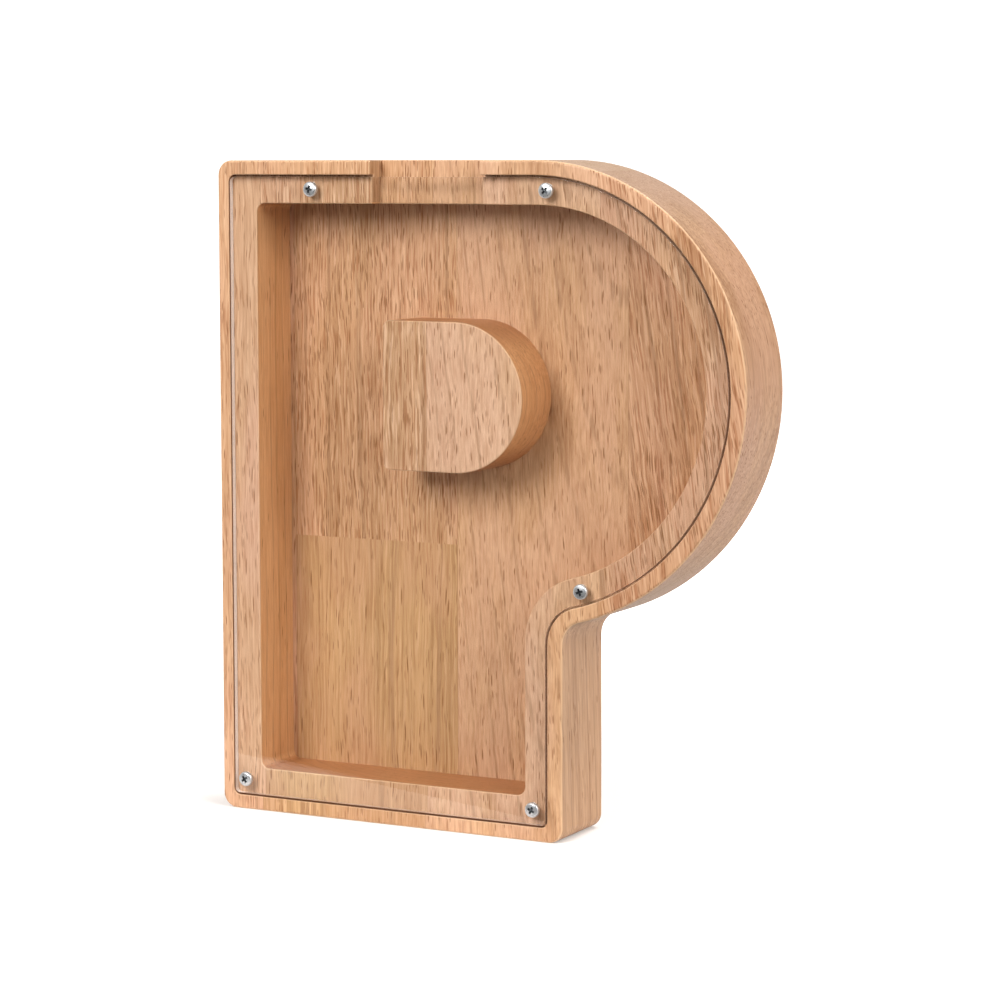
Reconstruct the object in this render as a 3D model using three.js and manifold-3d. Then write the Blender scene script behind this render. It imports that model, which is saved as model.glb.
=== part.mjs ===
// Wooden money box: a thick board of edge-glued staves, sawn to the shape of a capital P.
// A pocket is milled into the front for the coins, with the P's counter left standing as an island.
// A clear window lies in a rebate over the pocket and is held by five small pan-head screws.
// Coins drop through a slot in the top edge, behind the window.
//
// Units are millimetres. +Z is up, the front faces -Y and +X is to the right seen from the front.
// The origin is the centre of the flat foot.

import * as THREE from 'three';
import { mergeVertices } from 'three/addons/utils/BufferGeometryUtils.js';
import Module from 'manifold-3d';

const wasm = await Module();
wasm.setup();

// ---------------------------------------------------------------- driving dimensions

// Outline of the board
const HEIGHT = 220;
const OVERALL_WIDTH = 193;
const DEPTH = 30;
const STEM_WIDTH = 129.3;
const BOWL_RADIUS = 73.5;
const UNDERSIDE_RADIUS = 77;      // the bowl's underside is a slightly flatter arc
const UNDERSIDE_START = -10;      // degrees; where the bowl's arc hands over to the underside
const ARMPIT_RADIUS = 8;          // hollow round between the bowl and the stem
const CORNER_RADIUS = 5;

// Pocket, ledge and rebate
const WALL = 14.3;                // from the outer edge to the pocket
const BACK_THICKNESS = 6;
const POCKET_CORNER_RADIUS = 3;
const RIM = 4.8;                  // from the outer edge to the window's rebate
const REBATE_CORNER_RADIUS = 2.4;
const REBATE_DRIFT = -0.5;        // the rebate is cut this far to the left of true

// Island: the P's counter, flush with the ledge
const ISLAND_LEFT = 62.6;         // from the board's left edge
const ISLAND_WIDTH = 51.4;
const ISLAND_HEIGHT = 49.3;
const ISLAND_DROP = 3.5;          // its middle is this far below the bowl's centre
const ISLAND_CORNER_RADIUS = 2.5;

// Coin slot
const SLOT_LEFT = 58.9;           // from the board's left edge
const SLOT_LENGTH = 41;
const SLOT_WIDTH = 5;

// Window
const WINDOW_THICKNESS = 3;
const WINDOW_GAP = 0.7;           // play between the window and the rebate's wall

// Staves of the glued board
const FIRST_GLUE_LINE = 16;       // from the board's left edge
const STAVE_WIDTH = 63;
const BUTT_JOINT_HEIGHT = 92;     // where the second stave is joined end to end

// Screws
const HEAD_DIAMETER = 5;
const HEAD_HEIGHT = 1.6;
const THREAD_DIAMETER = 2.6;
const SCREW_LENGTH = 12;          // under the head
const POINT_LENGTH = 2.4;
const CROSS_LENGTH = 3;
const CROSS_WIDTH = 0.75;
const CROSS_DEPTH = 1.1;
const WINDOW_HOLE_PLAY = 0.3;     // radial
const PILOT_PLAY = 0.1;           // radial; stands in for the thread biting into the wood
const PILOT_EXTRA_DEPTH = 1.5;
const TOP_LEFT_SCREW = 36.7;      // from the board's left edge
const BOTTOM_LEFT_SCREW = 9.5;    // from the board's left edge
const BOTTOM_RIGHT_SCREW = 10.4;  // from the stem's right edge
const BOTTOM_SCREW_HEIGHT = 10.5;
const TOP_RIGHT_SCREW_ANGLE = 86; // degrees round the bowl
const UNDERSIDE_SCREW_ANGLE = 3;  // degrees round the underside from where the armpit ends

// Fineness of the facets
const CHORD_ERROR = 0.02;
const ROUND_SIDES = 24;
const OVERCUT = 1;                // how far a cutting solid runs past the face it opens

// ---------------------------------------------------------------- places worked out from them

const LEFT = -STEM_WIDTH / 2;
const RIGHT = LEFT + OVERALL_WIDTH;
const STEM_RIGHT = STEM_WIDTH / 2;
const FRONT = -DEPTH / 2;
const BACK = DEPTH / 2;
const LEDGE = FRONT + WINDOW_THICKNESS;
const FLOOR = BACK - BACK_THICKNESS;

const radians = THREE.MathUtils.degToRad;
const bowl = new THREE.Vector2(RIGHT - BOWL_RADIUS, HEIGHT - BOWL_RADIUS);
const underside = pointOnArc(bowl, BOWL_RADIUS - UNDERSIDE_RADIUS, radians(UNDERSIDE_START));
const armpit = armpitCentre();
const armpitEnd = Math.atan2(armpit.y - underside.y, armpit.x - underside.x);

function pointOnArc(centre, radius, angle) {
  return new THREE.Vector2(centre.x + radius * Math.cos(angle), centre.y + radius * Math.sin(angle));
}

// The armpit's round touches both the stem's side and the bowl's underside from outside.
function armpitCentre() {
  const x = STEM_RIGHT + ARMPIT_RADIUS;
  const reach = UNDERSIDE_RADIUS + ARMPIT_RADIUS;
  return new THREE.Vector2(x, underside.y - Math.sqrt(reach ** 2 - (x - underside.x) ** 2));
}

// ---------------------------------------------------------------- outlines, in the X-Z plane

function arc(centre, radius, from, to) {
  const step = 2 * Math.acos(1 - CHORD_ERROR / radius);
  const count = Math.max(2, Math.ceil(Math.abs(to - from) / step));
  const points = [];
  for (let i = 0; i <= count; i++) {
    points.push(pointOnArc(centre, radius, from + ((to - from) * i) / count));
  }
  return points;
}

// The P's outline, moved inwards by inset, with its square corners rounded to radius.
function outline(inset, radius, drift = 0) {
  const left = LEFT + inset + radius;
  const right = STEM_RIGHT - inset - radius;
  const low = inset + radius;
  const high = HEIGHT - inset - radius;
  const points = [
    ...arc(new THREE.Vector2(left, low), radius, Math.PI, 1.5 * Math.PI),
    ...arc(new THREE.Vector2(right, low), radius, -Math.PI / 2, 0),
    ...arc(armpit, ARMPIT_RADIUS + inset, Math.PI, armpitEnd + Math.PI),
    ...arc(underside, UNDERSIDE_RADIUS - inset, armpitEnd, radians(UNDERSIDE_START)).slice(1),
    ...arc(bowl, BOWL_RADIUS - inset, radians(UNDERSIDE_START), Math.PI / 2).slice(1),
    ...arc(new THREE.Vector2(left, high), radius, Math.PI / 2, Math.PI),
  ];
  return points.map((point) => new THREE.Vector2(point.x + drift, point.y));
}

// The island's outline: straight on the left, a half round on the right.
function islandOutline() {
  const half = ISLAND_HEIGHT / 2;
  const middle = bowl.y - ISLAND_DROP;
  const left = LEFT + ISLAND_LEFT + ISLAND_CORNER_RADIUS;
  const roundCentre = LEFT + ISLAND_LEFT + ISLAND_WIDTH - half;
  const low = middle - half + ISLAND_CORNER_RADIUS;
  const high = middle + half - ISLAND_CORNER_RADIUS;
  return [
    ...arc(new THREE.Vector2(left, low), ISLAND_CORNER_RADIUS, Math.PI, 1.5 * Math.PI),
    ...arc(new THREE.Vector2(roundCentre, middle), half, -Math.PI / 2, Math.PI / 2),
    ...arc(new THREE.Vector2(left, high), ISLAND_CORNER_RADIUS, Math.PI / 2, Math.PI),
  ];
}

// ---------------------------------------------------------------- solids

function solidFrom(geometry) {
  const bare = geometry.clone();
  bare.deleteAttribute('normal');
  bare.deleteAttribute('uv');
  const merged = mergeVertices(bare);
  const mesh = new wasm.Mesh({
    numProp: 3,
    vertProperties: new Float32Array(merged.attributes.position.array),
    triVerts: new Uint32Array(merged.index.array),
  });
  return new wasm.Manifold(mesh);
}

function geometryFrom(solid) {
  const mesh = solid.getMesh();
  const geometry = new THREE.BufferGeometry();
  geometry.setAttribute('position', new THREE.BufferAttribute(mesh.vertProperties, 3));
  geometry.setIndex(new THREE.BufferAttribute(mesh.triVerts, 1));
  geometry.computeVertexNormals();
  return geometry;
}

// A plate with the given outline, reaching from one depth to another.
function plate(points, front, back) {
  const geometry = new THREE.ExtrudeGeometry(new THREE.Shape(points), {
    depth: back - front,
    bevelEnabled: false,
  });
  geometry.rotateX(Math.PI / 2);
  geometry.translate(0, back, 0);
  return solidFrom(geometry);
}

function block(low, high) {
  const size = new THREE.Vector3().subVectors(high, low);
  const geometry = new THREE.BoxGeometry(size.x, size.y, size.z);
  geometry.translate(low.x + size.x / 2, low.y + size.y / 2, low.z + size.z / 2);
  return solidFrom(geometry);
}

function roundHole(place, radius, front, back) {
  const geometry = new THREE.CylinderGeometry(radius, radius, back - front, ROUND_SIDES);
  geometry.translate(place.x, (front + back) / 2, place.y);
  return solidFrom(geometry);
}

// ---------------------------------------------------------------- screw places

function screwPlaces() {
  const ledgeMiddle = (RIM + WALL) / 2;
  const undersideAngle = armpitEnd + radians(UNDERSIDE_SCREW_ANGLE);
  return {
    top_left_screw: new THREE.Vector2(LEFT + TOP_LEFT_SCREW, HEIGHT - ledgeMiddle),
    top_right_screw: pointOnArc(bowl, BOWL_RADIUS - ledgeMiddle, radians(TOP_RIGHT_SCREW_ANGLE)),
    underside_screw: pointOnArc(underside, UNDERSIDE_RADIUS - ledgeMiddle, undersideAngle),
    bottom_right_screw: new THREE.Vector2(STEM_RIGHT - BOTTOM_RIGHT_SCREW, BOTTOM_SCREW_HEIGHT),
    bottom_left_screw: new THREE.Vector2(LEFT + BOTTOM_LEFT_SCREW, BOTTOM_SCREW_HEIGHT),
  };
}

// ---------------------------------------------------------------- the wooden board

function boardSolid(places) {
  const pocket = plate(outline(WALL, POCKET_CORNER_RADIUS), FRONT - OVERCUT, FLOOR);
  const island = plate(islandOutline(), LEDGE, BACK);
  const rebate = plate(outline(RIM, REBATE_CORNER_RADIUS, REBATE_DRIFT), FRONT - OVERCUT, LEDGE);
  const slot = block(
    new THREE.Vector3(LEFT + SLOT_LEFT, FRONT - OVERCUT, HEIGHT - WALL - OVERCUT),
    new THREE.Vector3(LEFT + SLOT_LEFT + SLOT_LENGTH, LEDGE + SLOT_WIDTH, HEIGHT + OVERCUT),
  );
  let board = plate(outline(0, CORNER_RADIUS), FRONT, BACK);
  board = board.subtract(pocket.subtract(island));
  board = board.subtract(rebate).subtract(slot);
  const pilotEnd = FRONT + SCREW_LENGTH + PILOT_EXTRA_DEPTH;
  for (const place of Object.values(places)) {
    board = board.subtract(roundHole(place, THREAD_DIAMETER / 2 + PILOT_PLAY, LEDGE - OVERCUT, pilotEnd));
  }
  return board;
}

// Each stave is the part of the board between two glue lines.
function staveSpans() {
  const first = LEFT + FIRST_GLUE_LINE;
  const second = first + STAVE_WIDTH;
  const third = second + STAVE_WIDTH;
  return {
    stave_1_left: { from: LEFT - OVERCUT, to: first, low: -OVERCUT, high: HEIGHT + OVERCUT },
    stave_2_lower: { from: first, to: second, low: -OVERCUT, high: BUTT_JOINT_HEIGHT },
    stave_2_upper: { from: first, to: second, low: BUTT_JOINT_HEIGHT, high: HEIGHT + OVERCUT },
    stave_3_middle: { from: second, to: third, low: -OVERCUT, high: HEIGHT + OVERCUT },
    stave_4_right: { from: third, to: RIGHT + OVERCUT, low: -OVERCUT, high: HEIGHT + OVERCUT },
  };
}

function staveGeometry(board, span) {
  const slab = block(
    new THREE.Vector3(span.from, FRONT - OVERCUT, span.low),
    new THREE.Vector3(span.to, BACK + OVERCUT, span.high),
  );
  return geometryFrom(board.intersect(slab));
}

// ---------------------------------------------------------------- the window

function windowGeometry(places) {
  const edge = outline(RIM + WINDOW_GAP, REBATE_CORNER_RADIUS - WINDOW_GAP, REBATE_DRIFT);
  let sheet = plate(edge, FRONT, LEDGE);
  for (const place of Object.values(places)) {
    const radius = THREAD_DIAMETER / 2 + WINDOW_HOLE_PLAY;
    sheet = sheet.subtract(roundHole(place, radius, FRONT - OVERCUT, LEDGE + OVERCUT));
  }
  return geometryFrom(sheet);
}

// ---------------------------------------------------------------- the screws

// A pan head with a cross recess, a plain stand-in for the thread and a point.
// The head's underside is at the origin, and the point runs along +Y.
function screwGeometry() {
  const head = HEAD_DIAMETER / 2;
  const thread = THREAD_DIAMETER / 2;
  const brow = 0.45 * HEAD_HEIGHT;  // height of the head's upright edge
  const profile = [new THREE.Vector2(0, SCREW_LENGTH)];
  profile.push(new THREE.Vector2(thread, SCREW_LENGTH - POINT_LENGTH));
  profile.push(new THREE.Vector2(thread, 0));
  profile.push(new THREE.Vector2(head, 0));
  const crownSteps = 5;
  for (let i = 0; i <= crownSteps; i++) {
    const angle = (Math.PI / 2) * (i / crownSteps);
    const rise = (HEAD_HEIGHT - brow) * Math.sin(angle);
    profile.push(new THREE.Vector2(i === crownSteps ? 0 : head * Math.cos(angle) ** 0.6, -brow - rise));
  }
  const body = solidFrom(new THREE.LatheGeometry(profile.reverse(), ROUND_SIDES));
  const wing = new THREE.Vector3(CROSS_LENGTH / 2, 0, CROSS_WIDTH / 2);
  const deep = new THREE.Vector3(0, CROSS_DEPTH - HEAD_HEIGHT, 0);
  const high = new THREE.Vector3(0, -HEAD_HEIGHT - OVERCUT, 0);
  const across = block(high.clone().sub(wing), deep.clone().add(wing));
  const turned = new THREE.Vector3(wing.z, 0, wing.x);
  const upright = block(high.clone().sub(turned), deep.clone().add(turned));
  return geometryFrom(body.subtract(across.add(upright)));
}

// ---------------------------------------------------------------- materials

function wood(color) {
  return new THREE.MeshStandardMaterial({ color, roughness: 0.55, metalness: 0 });
}

const WOODS = {
  stave_1_left: wood(0xd6a675),
  stave_2_lower: wood(0xd3a76f),
  stave_2_upper: wood(0xc99a6b),
  stave_3_middle: wood(0xdbab7c),
  stave_4_right: wood(0xc79769),
};
const clearSheet = new THREE.MeshStandardMaterial({
  color: 0xf3f6f7,
  roughness: 0.05,
  metalness: 0,
  transparent: true,
  opacity: 0.25,
});
const zincPlate = new THREE.MeshStandardMaterial({ color: 0xb9bec2, roughness: 0.3, metalness: 1 });

// ---------------------------------------------------------------- assembly

function namedMesh(name, geometry, material) {
  const mesh = new THREE.Mesh(geometry, material);
  mesh.name = name;
  return mesh;
}

const places = screwPlaces();
const moneyBox = new THREE.Group();

const board = boardSolid(places);
for (const [name, span] of Object.entries(staveSpans())) {
  moneyBox.add(namedMesh(name, staveGeometry(board, span), WOODS[name]));
}

const glazing = new THREE.Group();
glazing.add(namedMesh('window', windowGeometry(places), clearSheet));
for (const [name, place] of Object.entries(places)) {
  const screw = namedMesh(name, screwGeometry(), zincPlate);
  screw.position.set(place.x, FRONT, place.y);
  glazing.add(screw);
}
moneyBox.add(glazing);

export default moneyBox;
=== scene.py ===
# %% [markdown]
# # A wooden money box with a clear front
# The box is one thick board, glued up from five staves and sawn to the outline of a capital P.
# A deep pocket is milled into its front for the coins, with the letter's counter left standing as
# an island. A clear sheet lies in a rebate over the pocket and five small screws hold it.
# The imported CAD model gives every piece's true size and place. It is loaded first, as a fixed
# frame, and everything below is built around it in metres.

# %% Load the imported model
import math

import bmesh
import bpy
from mathutils import Matrix, Vector


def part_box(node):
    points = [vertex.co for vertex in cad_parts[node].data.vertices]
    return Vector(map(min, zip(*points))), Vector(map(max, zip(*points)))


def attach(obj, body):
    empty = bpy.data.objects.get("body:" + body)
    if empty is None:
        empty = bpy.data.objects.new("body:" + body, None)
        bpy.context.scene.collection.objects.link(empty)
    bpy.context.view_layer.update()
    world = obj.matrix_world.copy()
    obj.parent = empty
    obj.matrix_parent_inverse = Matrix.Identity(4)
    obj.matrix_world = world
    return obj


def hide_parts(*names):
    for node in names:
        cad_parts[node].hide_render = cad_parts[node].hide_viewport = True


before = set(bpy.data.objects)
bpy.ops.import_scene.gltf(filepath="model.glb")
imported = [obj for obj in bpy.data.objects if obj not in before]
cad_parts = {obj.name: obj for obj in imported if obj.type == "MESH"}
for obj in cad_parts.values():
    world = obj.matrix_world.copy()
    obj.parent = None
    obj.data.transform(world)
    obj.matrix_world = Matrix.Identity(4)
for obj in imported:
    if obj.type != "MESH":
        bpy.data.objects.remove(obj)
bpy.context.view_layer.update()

# %% [markdown]
# ## Levels to measure from
# The board's faces, the ledge that the window lies on and the glue lines between the staves are
# read off the CAD boxes. Later cells choose edges and place patterns by them, so nothing has to
# be typed in twice.

# %% The board's levels
MM = 0.001
NEAR = 0.01 * MM
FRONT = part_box("stave_1_left")[0].y
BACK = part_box("stave_1_left")[1].y
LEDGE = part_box("window")[1].y
BUTT_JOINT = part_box("stave_2_lower")[1].z
GLUE_LINES = [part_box(name)[1].x for name in ("stave_1_left", "stave_2_upper", "stave_3_middle")]
STAVES = ["stave_1_left", "stave_2_lower", "stave_2_upper", "stave_3_middle", "stave_4_right"]
SCREWS = [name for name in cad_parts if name.endswith("_screw")]
SCREW_CENTRES = {name: (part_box(name)[0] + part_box(name)[1]) / 2 for name in SCREWS}
print("glue lines at", [round(x / MM, 2) for x in GLUE_LINES], "mm, screws:", SCREWS)

# %% [markdown]
# ## Turning a CAD node into a mesh that can be worked on
# A CAD node is a heap of loose triangles. Merging its doubles joins them, and a limited dissolve
# turns each flat face back into one polygon, so that only real edges are left to be rounded.
# The curved walls keep their facets, because those meet at more than the dissolve's angle.
# Normals stored by the import are dropped, since they would fight the new edges.

# %% A merged, dissolved copy of a CAD node
MERGE_DISTANCE = 0.002 * MM
FLAT_ENOUGH = math.radians(0.4)


def worked_copy(node):
    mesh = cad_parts[node].data.copy()
    for name in [each.name for each in mesh.attributes if each.name.startswith("custom_normal")]:
        mesh.attributes.remove(mesh.attributes[name])
    bm = bmesh.new()
    bm.from_mesh(mesh)
    bpy.data.meshes.remove(mesh)
    bmesh.ops.remove_doubles(bm, verts=bm.verts, dist=MERGE_DISTANCE)
    bmesh.ops.dissolve_limit(
        bm, angle_limit=FLAT_ENOUGH, use_dissolve_boundaries=False,
        verts=bm.verts, edges=bm.edges,
    )
    bm.normal_update()
    return bm


# %% [markdown]
# ## Softened edges
# A board like this is sanded after it is sawn and milled: the outer arrises end up about a
# millimetre round, while the milled edges inside only lose their sharpness. A Bevel modifier
# could round them all alike. Here the bevels are cut into the mesh in passes instead, the broad
# ones first, so that each kind of edge gets its own width. An edge in a glued face is left
# sharp, because the neighbouring stave carries on from it and both get the same section there.

# %% Which faces and edges are which
SQUARE_ON = 0.999
SHARP_TURN = math.radians(40)


def lies_at(face, level):
    return abs(face.normal.y) > SQUARE_ON and abs(face.calc_center_median().y - level) < NEAR


def reach(face):
    depths = [vert.co.y for vert in face.verts]
    return min(depths), max(depths)


def is_glued(face):
    middle = face.calc_center_median()
    side_to_side = abs(face.normal.x) > SQUARE_ON and any(abs(middle.x - x) < NEAR for x in GLUE_LINES)
    end_to_end = abs(face.normal.z) > SQUARE_ON and abs(middle.z - BUTT_JOINT) < NEAR
    return side_to_side or end_to_end


def is_real_edge(edge):
    if len(edge.link_faces) != 2 or any(is_glued(face) for face in edge.link_faces):
        return False
    return edge.is_convex and edge.calc_face_angle() > SHARP_TURN


def is_outer_arris(edge):
    if not is_real_edge(edge):
        return False
    first, second = edge.link_faces
    for face, other in ((first, second), (second, first)):
        if lies_at(face, BACK) and abs(other.normal.y) < 0.1:
            return True
        if lies_at(face, FRONT) and reach(other)[1] > BACK - NEAR:
            return True
    return False


# %% The bevel
def soften(bm, chosen, width, segments):
    edges = [edge for edge in bm.edges if chosen(edge)]
    if edges:
        bmesh.ops.bevel(
            bm, geom=edges, offset=width, offset_type="OFFSET", affect="EDGES",
            segments=segments, profile=0.5, material=-1, clamp_overlap=True,
        )
    bm.normal_update()
    return len(edges)


# %% [markdown]
# ## From working mesh to finished piece
# Each finished piece is shaded smooth, with its real corners marked sharp by angle. Weighted
# normals then keep the broad flat faces truly flat and let the narrow bevels carry the turn of
# the light, as a sanded edge does. The piece rides on its body and stands for its CAD node.

# %% Finish a piece
FACE_AREA_WEIGHT = 80


def finished_piece(name, bm, materials, body, replaced, corner=30):
    mesh = bpy.data.meshes.new(name)
    bm.to_mesh(mesh)
    bm.free()
    mesh.polygons.foreach_set("use_smooth", [True] * len(mesh.polygons))
    mesh.set_sharp_from_angle(angle=math.radians(corner))
    for material in materials:
        mesh.materials.append(material)
    piece = bpy.data.objects.new(name, mesh)
    bpy.context.scene.collection.objects.link(piece)
    weighted = piece.modifiers.new("weighted_normals", "WEIGHTED_NORMAL")
    weighted.keep_sharp = True
    weighted.weight = FACE_AREA_WEIGHT
    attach(piece, body)
    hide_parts(replaced)
    return piece


# %% [markdown]
# ## Small helpers for node trees
# A material is a tree of nodes. These helpers add one node at a time and wire it up, so that the
# trees below read from top to bottom like a recipe. A value may be a number or another node's
# output: an output is linked, a number is written into the socket.

# %% Adding and wiring nodes
def put(tree, kind, sockets=None, **settings):
    node = tree.nodes.new(kind)
    for key, value in settings.items():
        setattr(node, key, value)
    for key, value in (sockets or {}).items():
        if isinstance(value, bpy.types.NodeSocket):
            tree.links.new(value, node.inputs[key])
        else:
            node.inputs[key].default_value = value
    return node


def new_material(name):
    material = bpy.data.materials.new(name)
    material.use_nodes = True
    tree = material.node_tree
    return material, tree, tree.nodes["Principled BSDF"]


# %% Sums and ramps
def calc(tree, operation, a, b=0.0, clamp=False):
    return put(tree, "ShaderNodeMath", {0: a, 1: b}, operation=operation, use_clamp=clamp).outputs[0]


def times(tree, a, b):
    return calc(tree, "MULTIPLY", a, b)


def plus(tree, a, b, clamp=False):
    return calc(tree, "ADD", a, b, clamp)


def minus(tree, a, b):
    return calc(tree, "SUBTRACT", a, b)


def ramped(tree, value, low, high, start=0.0, end=1.0):
    sockets = {"Value": value, "From Min": low, "From Max": high, "To Min": start, "To Max": end}
    return put(tree, "ShaderNodeMapRange", sockets, interpolation_type="SMOOTHSTEP").outputs[0]


def parts_of(tree, vector):
    return put(tree, "ShaderNodeSeparateXYZ", {0: vector}).outputs


# %% Mixing colours
# A Mix node has a set of sockets for each kind of value. These are the ones for colours.
MIX_FACTOR, MIX_FIRST, MIX_SECOND, MIX_RESULT = 0, 6, 7, 2


def mixed(tree, factor, a, b, mode="MIX"):
    sockets = {MIX_FACTOR: factor, MIX_FIRST: a, MIX_SECOND: b}
    node = put(tree, "ShaderNodeMix", sockets, data_type="RGBA", blend_type=mode, clamp_factor=True)
    return node.outputs[MIX_RESULT]


def dyed(tree, amount, colour, dye):
    return mixed(tree, amount, colour, mixed(tree, 1.0, colour, dye, mode="MULTIPLY"))


# %% Noise in three dimensions and in one
def stretched(tree, vector, scale):
    return put(tree, "ShaderNodeVectorMath", {0: vector, 1: scale}, operation="MULTIPLY").outputs[0]


def noise(tree, vector, scale, detail=2.0, roughness=0.5):
    place = stretched(tree, vector, scale)
    sockets = {"Vector": place, "Scale": 1.0, "Detail": detail, "Roughness": roughness}
    return put(tree, "ShaderNodeTexNoise", sockets).outputs["Fac"]


def noise_along(tree, value, scale, detail):
    sockets = {"W": times(tree, value, scale), "Scale": 1.0, "Detail": detail}
    return put(tree, "ShaderNodeTexNoise", sockets, noise_dimensions="1D").outputs["Fac"]


def swing(tree, value, width):
    return times(tree, minus(tree, value, 0.5), width)


# %% A new node group with named sockets
COLOUR, NUMBER, PLACE = "NodeSocketColor", "NodeSocketFloat", "NodeSocketVector"


def new_group(name, inputs, outputs):
    group = bpy.data.node_groups.new(name, "ShaderNodeTree")
    for key, kind, value in inputs:
        socket = group.interface.new_socket(key, in_out="INPUT", socket_type=kind)
        socket.default_value = value
    for key, kind in outputs:
        group.interface.new_socket(key, in_out="OUTPUT", socket_type=kind)
    source = group.nodes.new("NodeGroupInput").outputs
    target = group.nodes.new("NodeGroupOutput").inputs
    return group, source, target


# %% [markdown]
# ## Wood as a solid block
# Wood is not a printed sheet: the same growth rings, pores and fibres run right through a stave
# and come out on every face that is cut. So the grain is one three-dimensional pattern in the
# stave's own millimetres. Its axis is the tree's pith, standing a hand's breadth off the board.
# Rings round that axis give the broad bands and the thin growth lines. The rings sway a little
# on their way up, and the fibres weave a little from side to side.
# Every scale below is in waves for each millimetre across, through and along the grain.

# %% Growth rings, and fibres that weave
RING_SWAY = 9.0        # mm
FIBRE_WEAVE = 2.4      # mm


def ring_radius(tree, place):
    sway = swing(tree, noise(tree, place, (0.03, 0.03, 0.009)), RING_SWAY)
    split = parts_of(tree, place)
    across = calc(tree, "POWER", plus(tree, split[0], sway), 2.0)
    through = calc(tree, "POWER", split[1], 2.0)
    return calc(tree, "SQRT", plus(tree, across, through))


def woven(tree, place):
    bend = swing(tree, noise(tree, place, (0.12, 0.12, 0.045), detail=1.0), FIBRE_WEAVE)
    sideways = put(tree, "ShaderNodeCombineXYZ", {0: bend}).outputs[0]
    return put(tree, "ShaderNodeVectorMath", {0: place, 1: sideways}, operation="ADD").outputs[0]


def growth_lines(tree, radius, streak):
    sockets = {"W": times(tree, radius, 0.28), "Scale": 1.0}
    cells = put(tree, "ShaderNodeTexVoronoi", sockets, voronoi_dimensions="1D", feature="DISTANCE_TO_EDGE")
    line = ramped(tree, cells.outputs["Distance"], 0.02, 0.1, 1.0, 0.0)
    return times(tree, line, ramped(tree, streak, 0.4, 0.56))


# %% [markdown]
# ## The plank's own colour
# Under the pores, a plank is a mix of its pale and its deep colour. Yearly rings, broader bands
# and long streaks share in that mix, and the stave's figure says how strongly. Clouds of a third,
# rosier colour drift over it, and fine darker fibres cover everything.

# %% Plank colour
SHARE_OF_YEARS, SHARE_OF_BANDS, SHARE_OF_STREAKS = 0.3, 0.3, 0.4
FIGURE_CONTRAST = 5.5
FIBRE_BROWN = (0.76, 0.70, 0.62, 1)


def plank_tone(tree, radius, streak, figure):
    years = times(tree, noise_along(tree, radius, 0.55, 3.0), SHARE_OF_YEARS)
    bands = times(tree, noise_along(tree, radius, 0.12, 1.0), SHARE_OF_BANDS)
    tone = plus(tree, plus(tree, years, bands), times(tree, streak, SHARE_OF_STREAKS))
    contrast = times(tree, figure, FIGURE_CONTRAST)
    return plus(tree, times(tree, minus(tree, tone, 0.5), contrast), 0.5, clamp=True)


def plank_colour(tree, given, tone, fibre_tone):
    colour = mixed(tree, tone, given["Pale"], given["Deep"])
    cloud = noise(tree, given["Place"], (0.045, 0.045, 0.014))
    colour = mixed(tree, ramped(tree, cloud, 0.42, 0.62, 0.0, 0.75), colour, given["Blush"])
    return dyed(tree, times(tree, fibre_tone, 0.8), colour, FIBRE_BROWN)


# %% [markdown]
# ## Pores
# This hardwood's vessels are wide enough to see. Where a face is cut along the grain they are
# short dark dashes, and where it is cut across they are dots. Cells stretched along the grain do
# both by themselves: a dark spot at each cell's middle, open only in some of the cells. Ragged
# darker and brighter streaks between the spots are vessels cut at a shallow angle.

# %% Open pores and ragged vessels
PORE_LAYERS = (((1.7, 1.7, 0.16), 0.36), ((1.1, 1.1, 0.085), 0.3))
VESSEL_BROWN = (0.66, 0.48, 0.34, 1)
VESSEL_BRIGHT = (0.74, 0.47, 0.29, 1)
PORE_DARK = (0.21, 0.08, 0.025, 1)


def ragged_vessels(tree, colour, weave, porous):
    vessel = noise(tree, weave, (1.5, 1.5, 0.075), detail=1.0)
    dark = times(tree, ramped(tree, vessel, 0.55, 0.66), porous)
    bright = times(tree, ramped(tree, vessel, 0.45, 0.33), porous)
    colour = dyed(tree, times(tree, dark, 0.75), colour, VESSEL_BROWN)
    return mixed(tree, times(tree, bright, 0.4), colour, VESSEL_BRIGHT)


def open_pores(tree, place, weave, porous):
    patch = noise(tree, place, (0.06, 0.06, 0.02), detail=1.0)
    wanted = times(tree, porous, ramped(tree, patch, 0.3, 0.7, 0.45, 1.0))
    pores = 0.0
    for cells, size in PORE_LAYERS:
        sockets = {"Vector": stretched(tree, weave, cells), "Scale": 1.0}
        cell = put(tree, "ShaderNodeTexVoronoi", sockets).outputs
        chance = put(tree, "ShaderNodeSeparateColor", {0: cell["Color"]}).outputs
        is_open = calc(tree, "LESS_THAN", chance[0], wanted)
        spot = ramped(tree, cell["Distance"], size * 0.6, size, 1.0, 0.0)
        depth = plus(tree, times(tree, chance[1], 0.5), 0.5)
        pores = calc(tree, "MAXIMUM", pores, times(tree, times(tree, spot, is_open), depth))
    return pores


# %% [markdown]
# ## How each face was worked, and where light is painted in
# The same timber looks different by how it was cut. End grain is tinted, by default greyer and less
# red: on the top faces this is painted sheen, standing in for the white room mirrored at a grazing
# angle. The rim's face and the ledge's face are painted lighter: painted light, which leaves the
# pocket floor behind them looking shaded. Sawn sides are a shade duller, and a rounded arris gets a
# painted highlight in pale wood. The normal tells the faces apart: its y part is 1 on the front and
# the back and 0 on the sides.

# %% End grain tint, painted light on the front faces, sawn sides and painted arris highlights
RIM_PAINTED_LIGHT = (1.03, 1.05, 1.08, 1)
LEDGE_PAINTED_LIGHT = (1.06, 1.12, 1.24, 1)
SAWN_SIDE = (0.91, 0.925, 0.95, 1)
ARRIS_PAINTED_HIGHLIGHT = (0.78, 0.53, 0.33, 1)
FRONT_MM, LEDGE_MM = FRONT / MM, LEDGE / MM


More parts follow.
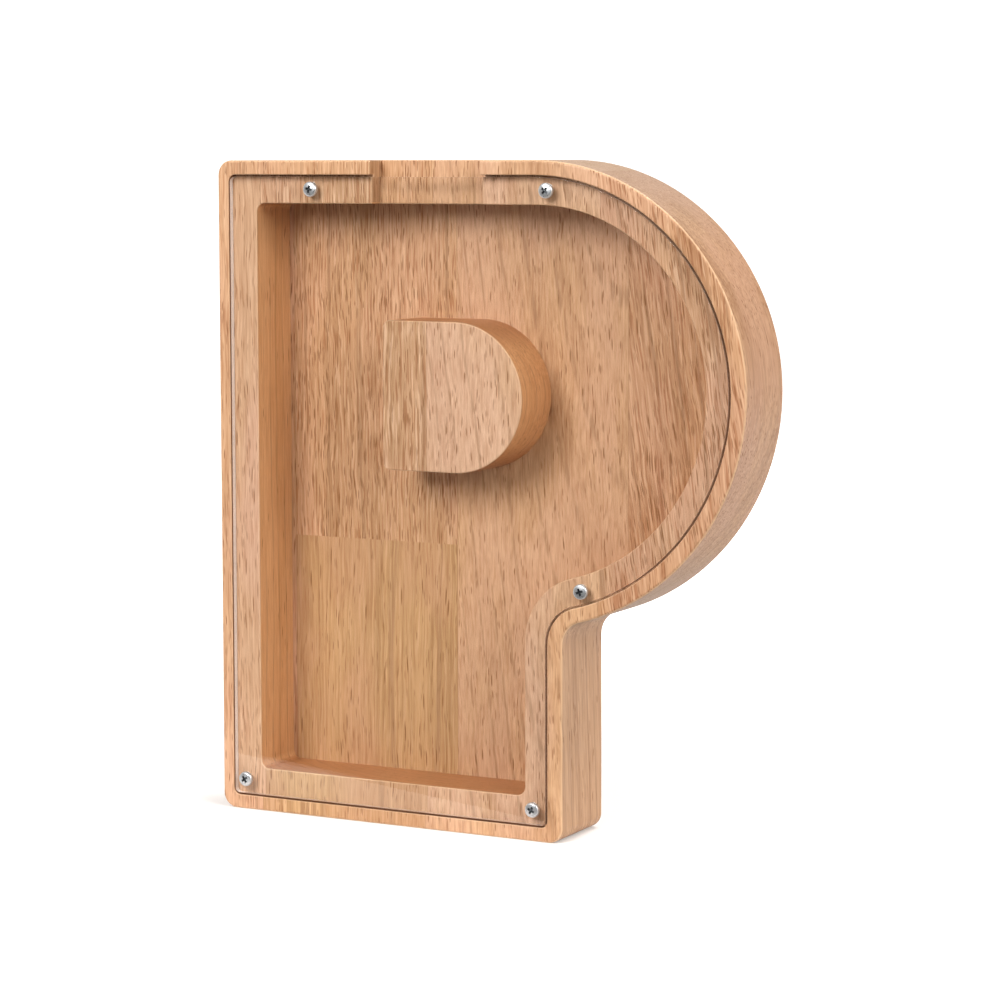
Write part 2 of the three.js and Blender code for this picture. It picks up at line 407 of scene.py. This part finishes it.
def worked_faces(tree, colour, given, upright, turn):
    # End grain tint; the default one is a painted sheen on the top faces.
    end = ramped(tree, calc(tree, "ABSOLUTE", upright), 0.55, 0.95)
    colour = dyed(tree, times(tree, end, 0.8), colour, given["End Grain"])
    # Painted light: the rim's and the ledge's faces are made lighter than the pocket floor.
    outside = ramped(tree, given["Depth"], LEDGE_MM + 0.4, LEDGE_MM + 0.8, 1.0, 0.0)
    painted_front_light = times(tree, outside, ramped(tree, turn, 0.75, 0.95))
    off_the_rim = ramped(tree, given["Depth"], FRONT_MM + 0.5, FRONT_MM + 1.5)
    colour = dyed(tree, painted_front_light, colour, mixed(tree, off_the_rim, RIM_PAINTED_LIGHT, LEDGE_PAINTED_LIGHT))
    colour = dyed(tree, ramped(tree, turn, 0.3, 0.05), colour, SAWN_SIDE)
    # Painted highlight in pale wood along the rounded arrises.
    rounded = times(tree, ramped(tree, turn, 0.08, 0.5), ramped(tree, turn, 0.6, 0.97, 1.0, 0.0))
    return mixed(tree, times(tree, rounded, 0.55), colour, ARRIS_PAINTED_HIGHLIGHT)


# %% Glue lines
GLUE_BROWN = (0.25, 0.12, 0.05, 1)


def glue_seam(tree, given):
    seam = 0.0
    for side in ("Glue Left", "Glue Right"):
        gap = calc(tree, "ABSOLUTE", minus(tree, given["Across"], given[side]))
        seam = calc(tree, "MAXIMUM", seam, ramped(tree, gap, 0.03, 0.22, 1.0, 0.0))
    return seam


# %% [markdown]
# ## The grain group
# All of that goes into one node group, because every stave uses it with its own values. The group
# gives out a colour, a roughness and a height for the bump. Place is in millimetres from the
# pith, Across and Depth are the stave's own x and y in millimetres.

# %% Build the grain group
GRAIN_INPUTS = [
    ("Place", PLACE, (0, 0, 0)),
    ("Normal", PLACE, (0, 0, 0)),
    ("Pale", COLOUR, (0.7, 0.45, 0.27, 1)),
    ("Deep", COLOUR, (0.5, 0.28, 0.15, 1)),
    ("Blush", COLOUR, (0.7, 0.4, 0.27, 1)),
    ("Pores", NUMBER, 0.5),
    ("Figure", NUMBER, 0.5),
    ("Glue Left", NUMBER, -1000.0),
    ("Glue Right", NUMBER, 1000.0),
    ("Across", NUMBER, 0.0),
    ("Depth", NUMBER, 0.0),
    # The default end-grain tint, greyer and less red, is painted sheen on the top faces.
    ("End Grain", COLOUR, (0.76, 0.87, 1.0, 1)),
]
GRAIN_OUTPUTS = [("Colour", COLOUR), ("Roughness", NUMBER), ("Height", NUMBER)]
GROWTH_LINE_BROWN = (0.30, 0.15, 0.07, 1)
SATIN = 0.44


def grain_group():
    group, given, result = new_group("timber grain", GRAIN_INPUTS, GRAIN_OUTPUTS)
    place = given["Place"]
    facing = parts_of(group, given["Normal"])
    turn = calc(group, "ABSOLUTE", facing[1])
    porous = times(group, given["Pores"], ramped(group, turn, 0.1, 0.6, 0.4, 1.0))
    radius = ring_radius(group, place)
    weave = woven(group, place)
    streak = noise(group, weave, (0.9, 0.9, 0.02), detail=3.0, roughness=0.6)
    fibre = noise(group, weave, (2.0, 2.0, 0.06), detail=4.0, roughness=0.7)
    fibre_tone = ramped(group, fibre, 0.32, 0.68)
    tone = plank_tone(group, radius, streak, given["Figure"])
    colour = plank_colour(group, given, tone, fibre_tone)
    colour = ragged_vessels(group, colour, weave, porous)
    lines = growth_lines(group, radius, streak)
    colour = mixed(group, times(group, lines, 0.55), colour, GROWTH_LINE_BROWN)
    pores = open_pores(group, place, weave, porous)
    colour = mixed(group, times(group, pores, 0.88), colour, PORE_DARK)
    colour = worked_faces(group, colour, given, facing[2], turn)
    seam = glue_seam(group, given)
    colour = mixed(group, times(group, seam, 0.4), colour, GLUE_BROWN)
    dull = plus(group, SATIN, times(group, fibre_tone, 0.1))
    dull = plus(group, dull, times(group, pores, 0.25), clamp=True)
    height = minus(group, times(group, fibre, 0.25), pores)
    height = minus(group, height, times(group, seam, 0.4))
    group.links.new(colour, result["Colour"])
    group.links.new(dull, result["Roughness"])
    group.links.new(height, result["Height"])
    return group


GRAIN = grain_group()
print("grain group:", len(GRAIN.nodes), "nodes")

# %% [markdown]
# ## One material for each stave
# The staves come from different planks, which is what makes a glued board look real: one is
# yellowish and smooth, the next pink and full of pores. Each stave gets its own colours, its own
# pith position, a slight lean of the grain and its own amount of pores. A stave knows where its
# glue lines are, so the outermost staves have one only on their inner side.

# %% Timber material
PER_METRE = 1000
GRAIN_DEPTH = 0.12 * MM


def glue_sides(stave):
    low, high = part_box(stave)
    sides = {}
    if stave != STAVES[0]:
        sides["Glue Left"] = low.x / MM
    if stave != STAVES[-1]:
        sides["Glue Right"] = high.x / MM
    return sides


def timber(name, values, pith, lean=0, dive=0, glue=None):
    material, tree, shader = new_material("timber_" + name)
    where = put(tree, "ShaderNodeTexCoord").outputs
    mapping = put(tree, "ShaderNodeMapping", {
        "Vector": where["Object"],
        "Location": pith,
        "Rotation": (math.radians(dive), math.radians(lean), 0),
        "Scale": (PER_METRE, PER_METRE, PER_METRE),
    })
    split = parts_of(tree, where["Object"])
    grain = put(tree, "ShaderNodeGroup", node_tree=GRAIN)
    tree.links.new(mapping.outputs[0], grain.inputs["Place"])
    tree.links.new(where["Normal"], grain.inputs["Normal"])
    tree.links.new(times(tree, split[0], PER_METRE), grain.inputs["Across"])
    tree.links.new(times(tree, split[1], PER_METRE), grain.inputs["Depth"])
    for key, value in {**values, **(glue or {})}.items():
        grain.inputs[key].default_value = (*value, 1) if isinstance(value, tuple) else value
    sockets = {"Strength": 0.55, "Distance": GRAIN_DEPTH, "Height": grain.outputs["Height"]}
    bump = put(tree, "ShaderNodeBump", sockets)
    tree.links.new(grain.outputs["Colour"], shader.inputs["Base Color"])
    tree.links.new(grain.outputs["Roughness"], shader.inputs["Roughness"])
    tree.links.new(bump.outputs[0], shader.inputs["Normal"])
    shader.inputs["Specular IOR Level"].default_value = 0.35
    return material


# %% The planks that the staves were cut from
def plank(pale, deep, blush, pores, figure):
    return {"Pale": pale, "Deep": deep, "Blush": blush, "Pores": pores, "Figure": figure}


ROSY = plank((0.61, 0.355, 0.20), (0.45, 0.235, 0.115), (0.62, 0.35, 0.22), pores=0.65, figure=1.05)
YELLOW = plank((0.545, 0.318, 0.152), (0.39, 0.21, 0.086), (0.52, 0.285, 0.15), pores=0.4, figure=1.3)
POROUS = plank((0.61, 0.35, 0.19), (0.42, 0.22, 0.10), (0.57, 0.315, 0.18), pores=1.0, figure=0.75)
PINK = plank((0.61, 0.36, 0.197), (0.44, 0.23, 0.112), (0.60, 0.35, 0.215), pores=0.4, figure=0.85)
BROWN = plank((0.58, 0.325, 0.17), (0.39, 0.19, 0.085), (0.55, 0.30, 0.175), pores=0.9, figure=0.8)
TIMBERS = {
    "stave_1_left": timber(
        "stave_1_left", ROSY, pith=(60, -92, 310), lean=0.8, glue=glue_sides("stave_1_left"),
    ),
    "stave_2_lower": timber(
        "stave_2_lower", YELLOW, pith=(30, -110, 40), lean=-0.5, glue=glue_sides("stave_2_lower"),
    ),
    "stave_2_upper": timber(
        "stave_2_upper", POROUS, pith=(5, -85, 700), lean=0.6, glue=glue_sides("stave_2_upper"),
    ),
    "stave_3_middle": timber(
        "stave_3_middle", PINK, pith=(-80, -95, 150), lean=1.2, dive=-4, glue=glue_sides("stave_3_middle"),
    ),
    "stave_4_right": timber(
        "stave_4_right", BROWN, pith=(-75, -80, 480), lean=8, glue=glue_sides("stave_4_right"),
    ),
}
print("stave materials:", [material.name for material in TIMBERS.values()])

# %% [markdown]
# ## Milled walls, with painted bounce light and painted shade
# The pocket's walls are painted redder and more even than the faces: painted bounce light, standing
# in for the warm light the walls throw at each other. The narrow walls of the rebate are painted darker
# still, painted shade, so the gap round the window reads as a thin dark line. Both are the same grain
# group with other values and a browner end grain, which is painted shade on the walls that face up and
# down.

# %% Milled and rebate materials, with painted bounce light and painted shade
# Painted bounce light: warmer, redder wood for the pocket's walls.
POCKET_PAINTED_BOUNCE = plank((0.82, 0.445, 0.21), (0.66, 0.33, 0.135), (0.80, 0.43, 0.205), pores=0.25, figure=0.5)
# Painted shade for the rebate's narrow walls.
REBATE_PAINTED_SHADE = plank((0.32, 0.16, 0.075), (0.23, 0.11, 0.05), (0.30, 0.145, 0.07), pores=0.3, figure=0.5)
# Painted shade: browner end grain on the walls that face up and down.
END_GRAIN_PAINTED_SHADE = {"End Grain": (0.58, 0.44, 0.34)}
MILLED = timber("milled_wall_painted_bounce", {**POCKET_PAINTED_BOUNCE, **END_GRAIN_PAINTED_SHADE}, pith=(-20, -90, 220))
REBATE = timber("rebate_wall_painted_shade", {**REBATE_PAINTED_SHADE, **END_GRAIN_PAINTED_SHADE}, pith=(10, -90, 120))
print("wall materials:", MILLED.name, REBATE.name)

# %% [markdown]
# ## The five staves
# Each stave is a worked copy of its CAD node. The outer arrises are rounded first, then every
# milled edge that is still sharp loses a few tenths of a millimetre. The pilot holes stay sharp,
# because they lie under the screws, out of the sandpaper's reach. Then each face is sorted by
# where it is: the board's own faces, the pocket's walls, or the rebate's walls.

# %% Sorting edges and faces
OUTER_ROUND = 1.0 * MM
INNER_ROUND = 0.45 * MM
BY_A_SCREW = 2 * MM
BOARD_FACE, POCKET_WALL, REBATE_WALL = 0, 1, 2


def is_milled_arris(edge):
    middle = (edge.verts[0].co + edge.verts[1].co) / 2
    away = [math.hypot(middle.x - c.x, middle.z - c.z) for c in SCREW_CENTRES.values()]
    return is_real_edge(edge) and min(away) >= BY_A_SCREW


def wall_kind(face):
    nearest, farthest = reach(face)
    too_narrow = farthest - nearest < 0.8 * MM
    if abs(face.normal.y) > 0.3 or is_glued(face) or too_narrow:
        return BOARD_FACE
    if farthest < LEDGE + NEAR:
        return REBATE_WALL
    inside_the_pocket = nearest > LEDGE - NEAR and farthest < BACK - 3 * MM
    return POCKET_WALL if inside_the_pocket else BOARD_FACE


# %% Build the staves
for stave in STAVES:
    bm = worked_copy(stave)
    outer = soften(bm, is_outer_arris, OUTER_ROUND, 4)
    inner = soften(bm, is_milled_arris, INNER_ROUND, 3)
    for face in bm.faces:
        face.material_index = wall_kind(face)
    piece = finished_piece(stave + "_wood", bm, [TIMBERS[stave], MILLED, REBATE], "board", stave)
    print(stave, "outer edges", outer, "milled edges", inner, "faces", len(piece.data.polygons))

# %% [markdown]
# ## The clear window
# The window is a 3 mm acrylic sheet. It is modelled as a real sheet that bends light, with a
# perfectly smooth surface. Shadow rays and diffuse rays go straight through it, which is what
# light does on its way through a flat sheet, so the pocket behind it is lit without noise.

# %% Acrylic material
ACRYLIC_IOR = 1.49


def let_through(tree, shader, share, tint):
    clear = put(tree, "ShaderNodeBsdfTransparent", {"Color": tint})
    joined = put(tree, "ShaderNodeMixShader", {0: share, 1: shader.outputs[0], 2: clear.outputs[0]})
    tree.links.new(joined.outputs[0], tree.nodes["Material Output"].inputs["Surface"])


def acrylic():
    material, tree, shader = new_material("clear_acrylic")
    shader.inputs["Base Color"].default_value = (0.985, 0.99, 0.99, 1)
    shader.inputs["Transmission Weight"].default_value = 1.0
    shader.inputs["IOR"].default_value = ACRYLIC_IOR
    shader.inputs["Roughness"].default_value = 0.0
    path = put(tree, "ShaderNodeLightPath").outputs
    straight = calc(tree, "MAXIMUM", path["Is Shadow Ray"], path["Is Diffuse Ray"])
    let_through(tree, shader, straight, (0.97, 0.975, 0.97, 1))
    return material


# %% [markdown]
# ## The window's sawn edge
# The sheet's rim is sawn and only scraped clean, so it is frosted. The left edge is painted as a pale
# line: partly the frosted edge's own whiteness, partly painted light standing in for light gathered in
# the sheet. The other edges are painted brown, painted shade for the shaded rebate seen through them.
# The tint changes with the place across the window, and fine scratches drive the roughness.

# %% Sawn edge material
EDGE_PALE_AND_PAINTED_GLOW = (0.98, 0.86, 0.79, 1)
EDGE_PAINTED_SHADE = (0.55, 0.38, 0.28, 1)


def sawn_edge():
    material, tree, shader = new_material("sawn_acrylic_edge")
    where = put(tree, "ShaderNodeTexCoord").outputs["Object"]
    scratches = noise(tree, where, (900, 6000, 900), detail=3.0)
    tree.links.new(ramped(tree, scratches, 0.3, 0.7, 0.22, 0.42), shader.inputs["Roughness"])
    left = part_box("window")[0].x
    # Painted light on the left edge, painted shade on the other edges.
    beyond_left = ramped(tree, parts_of(tree, where)[0], left + 2 * MM, left + 5 * MM)
    tree.links.new(mixed(tree, beyond_left, EDGE_PALE_AND_PAINTED_GLOW, EDGE_PAINTED_SHADE), shader.inputs["Base Color"])
    shader.inputs["Transmission Weight"].default_value = 0.25
    shader.inputs["IOR"].default_value = ACRYLIC_IOR
    shadow = times(tree, put(tree, "ShaderNodeLightPath").outputs["Is Shadow Ray"], 0.45)
    let_through(tree, shader, shadow, (0.9, 0.88, 0.87, 1))
    return material


# %% Window sheet
WINDOW_BREAK = 0.4 * MM
SQUARE_TURN = math.radians(60)


def is_window_arris(edge):
    return len(edge.link_faces) == 2 and edge.is_convex and edge.calc_face_angle() > SQUARE_TURN


bm = worked_copy("window")
broken = soften(bm, is_window_arris, WINDOW_BREAK, 3)
for face in bm.faces:
    face.material_index = 0 if abs(face.normal.y) > 0.2 else 1
finished_piece("window_sheet", bm, [acrylic(), sawn_edge()], "window", "window")
print("window edges broken:", broken)

# %% [markdown]
# ## The screws
# The window is held by five small pan-head wood screws, bright zinc plated, with a cross recess.
# The head is spun from its half section. The recess is a tapered cross, cut out of it with a
# boolean. The thread is one V-shaped section, one pitch long, spun on while it moves along the
# axis, so that each turn's end meets the next turn's start and merges with it.

# %% Screw sizes
HEAD_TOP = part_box(SCREWS[0])[0].y
HEAD_RADIUS = (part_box(SCREWS[0])[1].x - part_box(SCREWS[0])[0].x) / 2
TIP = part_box(SCREWS[0])[1].y
CORE_RADIUS = 0.92 * MM
CREST_RADIUS = 1.3 * MM
PITCH = 1.0 * MM
POINT = 3.0 * MM
TURN_STEPS = 32
TINY = 0.001 * MM
print("screw head radius", round(HEAD_RADIUS / MM, 2), "mm")
print("screw from y", round(HEAD_TOP / MM, 2), "to", round(TIP / MM, 2), "mm")

# %% Head
SHOULDER = 0.75 * MM
CROWN = 0.18 * MM
HEAD_BREAK = 0.08 * MM
CROWN_STEPS, SHOULDER_STEPS = 5, 8


def head_section():
    points = [(0, HEAD_TOP)]
    for step in range(1, CROWN_STEPS + 1):
        share = step / CROWN_STEPS
        points.append((share * (HEAD_RADIUS - SHOULDER), HEAD_TOP + CROWN * share ** 2))
    for step in range(1, SHOULDER_STEPS + 1):
        angle = math.radians(90 * step / SHOULDER_STEPS)
        radius = HEAD_RADIUS - SHOULDER * (1 - math.sin(angle))
        points.append((radius, HEAD_TOP + CROWN + SHOULDER * (1 - math.cos(angle))))
    points += [(HEAD_RADIUS, FRONT - HEAD_BREAK), (HEAD_RADIUS - HEAD_BREAK, FRONT), (0, FRONT)]
    return points


def section_line(bm, points):
    verts = [bm.verts.new((radius, along, 0)) for radius, along in points]
    return verts + [bm.edges.new(pair) for pair in zip(verts, verts[1:])]


def screw_head():
    bm = bmesh.new()
    bmesh.ops.spin(
        bm, geom=section_line(bm, head_section()), cent=(0, 0, 0), axis=(0, 1, 0), dvec=(0, 0, 0),
        angle=2 * math.pi, steps=2 * TURN_STEPS, use_merge=True, use_duplicate=False,
    )
    bmesh.ops.remove_doubles(bm, verts=bm.verts, dist=TINY)
    bmesh.ops.recalc_face_normals(bm, faces=bm.faces)
    return bm


# %% Cross recess
RECESS_DEPTH = 1.05 * MM
RECESS_ABOVE = 1.2 * MM
RECESS_LENGTH, RECESS_WIDTH = 3.3 * MM, 0.95 * MM
RECESS_TAPER = (0.58, 1, 0.7)


def recess_cutter():
    bm = bmesh.new()
    for turn in (0, math.pi / 2):
        made = bmesh.ops.create_cube(bm, size=1.0)["verts"]
        bmesh.ops.scale(bm, vec=(RECESS_LENGTH, RECESS_ABOVE + RECESS_DEPTH, RECESS_WIDTH), verts=made)
        bmesh.ops.translate(bm, vec=(0, HEAD_TOP + (RECESS_DEPTH - RECESS_ABOVE) / 2, 0), verts=made)
        deep = [vert for vert in made if vert.co.y > HEAD_TOP]
        bmesh.ops.scale(bm, vec=RECESS_TAPER, verts=deep)
        bmesh.ops.rotate(bm, cent=(0, 0, 0), matrix=Matrix.Rotation(turn, 3, "Y"), verts=made)
    return bm


def as_object(name, bm):
    mesh = bpy.data.meshes.new(name)
    bm.to_mesh(mesh)
    bm.free()
    thing = bpy.data.objects.new(name, mesh)
    bpy.context.scene.collection.objects.link(thing)
    return thing


def cut(body_bm, cutter_bm):
    body, cutter = as_object("cut_body", body_bm), as_object("cut_tool", cutter_bm)
    boolean = body.modifiers.new("cut", "BOOLEAN")
    boolean.operation = "DIFFERENCE"
    boolean.solver = "EXACT"
    boolean.use_self = True
    boolean.object = cutter
    bpy.context.view_layer.update()
    evaluated = body.evaluated_get(bpy.context.evaluated_depsgraph_get())
    bm = bmesh.new()
    bm.from_mesh(evaluated.to_mesh())
    evaluated.to_mesh_clear()
    bpy.data.objects.remove(body)
    bpy.data.objects.remove(cutter)
    return bm


# %% Threaded shank
SHANK_START = FRONT - 0.3 * MM
THREAD_SECTION = [
    (CORE_RADIUS, 0), (CORE_RADIUS, 0.42 * PITCH), (CREST_RADIUS, 0.66 * PITCH),
    (CREST_RADIUS, 0.74 * PITCH), (CORE_RADIUS, PITCH),
]
BLUNT = 0.04


def shank():
    bm = bmesh.new()
    turns = math.ceil((TIP - SHANK_START) / PITCH) + 1
    line = section_line(bm, [(radius, SHANK_START - PITCH + along) for radius, along in THREAD_SECTION])
    bmesh.ops.spin(
        bm, geom=line, cent=(0, 0, 0), axis=(0, 1, 0), dvec=(0, PITCH / TURN_STEPS, 0),
        angle=2 * math.pi * turns, steps=turns * TURN_STEPS, use_merge=False, use_duplicate=False,
    )
    bmesh.ops.remove_doubles(bm, verts=bm.verts, dist=TINY)
    for level, drop_before in ((SHANK_START, True), (TIP, False)):
        bmesh.ops.bisect_plane(
            bm, geom=bm.verts[:] + bm.edges[:] + bm.faces[:], dist=0.1 * TINY,
            plane_co=(0, level, 0), plane_no=(0, 1, 0),
            clear_inner=drop_before, clear_outer=not drop_before,
        )
    for vert in bm.verts:
        to_go = min(1.0, max(0.0, (TIP - vert.co.y) / POINT))
        share = BLUNT + (1 - BLUNT) * to_go ** 0.75
        vert.co.x *= share
        vert.co.z *= share
    bmesh.ops.holes_fill(bm, edges=[edge for edge in bm.edges if edge.is_boundary], sides=0)
    bmesh.ops.recalc_face_normals(bm, faces=bm.faces)
    return bm


# %% [markdown]
# ## Bright zinc
# Zinc plate is bright but never a mirror: it has a faint grain from the dip. A coarse mottle
# changes its colour and roughness a little, and a fine noise gives a very small bump. Little
# light comes back out of the recess, so its faces get the same material painted much darker, as painted
# shade.

# %% Zinc materials
def zinc(name, light, dark):
    material, tree, shader = new_material(name)
    where = put(tree, "ShaderNodeTexCoord").outputs["Object"]
    mottle = noise(tree, where, (1800, 1800, 1800), detail=3.0)
    fine = noise(tree, where, (9000, 9000, 9000), detail=2.0)
    tree.links.new(mixed(tree, ramped(tree, mottle, 0.3, 0.7), light, dark), shader.inputs["Base Color"])
    tree.links.new(ramped(tree, mottle, 0.2, 0.8, 0.24, 0.42), shader.inputs["Roughness"])
    bump = put(tree, "ShaderNodeBump", {"Strength": 0.2, "Distance": 0.02 * MM, "Height": fine})
    tree.links.new(bump.outputs[0], shader.inputs["Normal"])
    shader.inputs["Metallic"].default_value = 0.85
    return material


ZINC = zinc("bright_zinc", (0.68, 0.69, 0.70, 1), (0.46, 0.48, 0.50, 1))
# Painted shade: the recess's faces get the zinc much darker.
RECESS_PAINTED_SHADE_ZINC = zinc("recess_zinc", (0.16, 0.17, 0.18, 1), (0.10, 0.105, 0.11, 1))
print("screw materials:", ZINC.name, RECESS_PAINTED_SHADE_ZINC.name)

# %% [markdown]
# ## Five screws, each turned its own way
# Nobody lines up the recesses of screws like these, so each head is turned by its own angle. The
# thread starts a little inside the head, and the two closed shapes make one piece.

# %% Build the screws
CROSS_TURNS = {
    "top_left_screw": 12, "top_right_screw": 38, "underside_screw": 70,
    "bottom_right_screw": 25, "bottom_left_screw": 55,
}
IN_THE_CROSS = 1.75 * MM


def in_recess(face):
    middle = face.calc_center_median()
    sunk = HEAD_TOP + 0.22 * MM < middle.y < FRONT - 0.1 * MM
    return sunk and math.hypot(middle.x, middle.z) < IN_THE_CROSS


for screw in SCREWS:
    bm = cut(screw_head(), recess_cutter())
    for face in bm.faces:
        face.material_index = 1 if in_recess(face) else 0
    cross = Matrix.Rotation(math.radians(CROSS_TURNS[screw]), 3, "Y")
    bmesh.ops.rotate(bm, cent=(0, 0, 0), matrix=cross, verts=bm.verts)
    thread = shank()
    part = bpy.data.meshes.new("thread")
    thread.to_mesh(part)
    thread.free()
    bm.from_mesh(part)
    bpy.data.meshes.remove(part)
    centre = SCREW_CENTRES[screw]
    bmesh.ops.translate(bm, vec=(centre.x, 0, centre.z), verts=bm.verts)
    piece = finished_piece(screw + "_zinc", bm, [ZINC, RECESS_PAINTED_SHADE_ZINC], screw, screw, corner=35)
    recess_faces = sum(each.material_index for each in piece.data.polygons)
    print(screw, "faces", len(piece.data.polygons), "in the recess", recess_faces)

# %% [markdown]
# ## A white floor
# The box stands on a plain white floor. The floor glows a little, more so away from the box, so
# that it runs into the white room without a horizon and only the shadow by the foot is left.

# %% White floor
FLOOR_SCALE = (2.5, 1.5, 1)
FLOOR_TURN = math.radians(19)
FLOOR_MIDDLE = (0.045, -0.043, 0)
FLOOR_GREY = (0.85, 0.85, 0.85, 1)
GLOW_STARTS, GLOW_FULL = 0.08, 0.6
GLOW_NEAR, GLOW_FAR = 0.17, 0.85


def white_floor():
    bm = bmesh.new()
    bmesh.ops.create_grid(bm, x_segments=1, y_segments=1, size=1.0)
    bmesh.ops.scale(bm, vec=FLOOR_SCALE, verts=bm.verts)
    bmesh.ops.translate(bm, vec=(0, FLOOR_SCALE[1], 0), verts=bm.verts)
    bmesh.ops.rotate(bm, cent=(0, 0, 0), matrix=Matrix.Rotation(FLOOR_TURN, 3, "Z"), verts=bm.verts)
    bmesh.ops.translate(bm, vec=FLOOR_MIDDLE, verts=bm.verts)
    floor = as_object("floor", bm)
    material, tree, shader = new_material("white_floor")
    shader.inputs["Base Color"].default_value = FLOOR_GREY
    shader.inputs["Roughness"].default_value = 0.9
    shader.inputs["Specular IOR Level"].default_value = 0.0
    shader.inputs["Emission Color"].default_value = (1, 1, 1, 1)
    place = put(tree, "ShaderNodeTexCoord").outputs["Object"]
    distance = put(tree, "ShaderNodeVectorMath", {0: place}, operation="LENGTH").outputs["Value"]
    glow = ramped(tree, distance, GLOW_STARTS, GLOW_FULL, GLOW_NEAR, GLOW_FAR)
    tree.links.new(glow, shader.inputs["Emission Strength"])
    floor.data.materials.append(material)


white_floor()
print("floor:", 2 * FLOOR_SCALE[0], "by", 2 * FLOOR_SCALE[1], "m")

# %% [markdown]
# ## A white room
# The room's own light fills the shadows. It is whitest where the camera looks straight at it and
# a little warm where it only lights the wood. What the clear sheet and the screws mirror is
# chosen apart: dim in front of the box, so that the window stays clear, and bright elsewhere.

# %% Room light
ROOM_STRENGTH = 0.42
BACKDROP_EXTRA = 0.9
MIRRORED_BEHIND, MIRRORED_AHEAD = 1.0, 0.04
BOUNCED_WHITE = (1.0, 0.94, 0.865, 1)
BACKDROP_WHITE = (1, 1, 1, 1)


def room_light():
    world = bpy.data.worlds.new("white_room")
    world.use_nodes = True
    bpy.context.scene.world = world
    tree = world.node_tree
    background = tree.nodes["Background"]
    path = put(tree, "ShaderNodeLightPath").outputs
    direction = put(tree, "ShaderNodeTexCoord").outputs["Generated"]
    ahead = times(tree, parts_of(tree, direction)[1], -1.0)
    mirrored = ramped(tree, ahead, 0.25, 0.7, MIRRORED_BEHIND, MIRRORED_AHEAD)
    strength = plus(tree, ROOM_STRENGTH, times(tree, path["Is Camera Ray"], BACKDROP_EXTRA))
    glossy = times(tree, path["Is Glossy Ray"], minus(tree, mirrored, ROOM_STRENGTH))
    tint = mixed(tree, path["Is Camera Ray"], BOUNCED_WHITE, BACKDROP_WHITE)
    tree.links.new(tint, background.inputs["Color"])
    tree.links.new(plus(tree, strength, glossy), background.inputs["Strength"])
    return world


print("room:", room_light().name)

# %% [markdown]
# ## Three soft lamps
# A big soft lamp high on the front left gives the shadow under the pocket's top edge and lights
# its left wall less than its floor. A second one on the right keeps the bowl's side from going
# dull, and a third from above and behind lights the top.

# %% Lamps
LAMP_TARGET = Vector((0.02, 0, 0.11))


def soft_lamp(name, place, size, power):
    lamp = bpy.data.lights.new(name, "AREA")
    lamp.shape = "DISK"
    lamp.size = size
    lamp.energy = power
    holder = bpy.data.objects.new(name, lamp)
    holder.location = place
    aim = LAMP_TARGET - Vector(place)
    holder.rotation_euler = aim.to_track_quat("-Z", "Y").to_euler()
    bpy.context.scene.collection.objects.link(holder)
    print(name, "lamp", round(aim.length, 2), "m away,", power, "W")


soft_lamp("key", (-0.24, -1.17, 0.74), size=0.7, power=18)
soft_lamp("fill", (1.15, -0.5, 0.7), size=0.8, power=11)
soft_lamp("top", (0.35, 0.45, 1.3), size=0.7, power=9)

# %% [markdown]
# ## The camera
# A long lens a metre away, looking a little down from the box's right, keeps the letter's
# strokes nearly parallel. The depth of field is off, so everything is sharp.

# %% Camera
CAMERA_PLACE = (0.50245, -0.8867, 0.2215)
YAW, PITCH_DOWN, ROLL = math.radians(27.819), math.radians(5.107), math.radians(0.11)
camera_data = bpy.data.cameras.new("camera")
camera_data.lens = 110.69
camera_data.sensor_width = 36
camera_data.shift_y = -0.07
camera_data.dof.use_dof = False
camera = bpy.data.objects.new("camera", camera_data)
bpy.context.scene.collection.objects.link(camera)
level_view = Matrix.Rotation(YAW, 4, "Z") @ Matrix.Rotation(math.pi / 2 - PITCH_DOWN, 4, "X")
turned = level_view @ Matrix.Rotation(-ROLL, 4, "Z")
camera.matrix_world = Matrix.Translation(CAMERA_PLACE) @ turned
bpy.context.scene.camera = camera
bpy.context.scene.view_settings.view_transform = "Standard"
print("camera", round(Vector(CAMERA_PLACE).length, 2), "m from the foot")
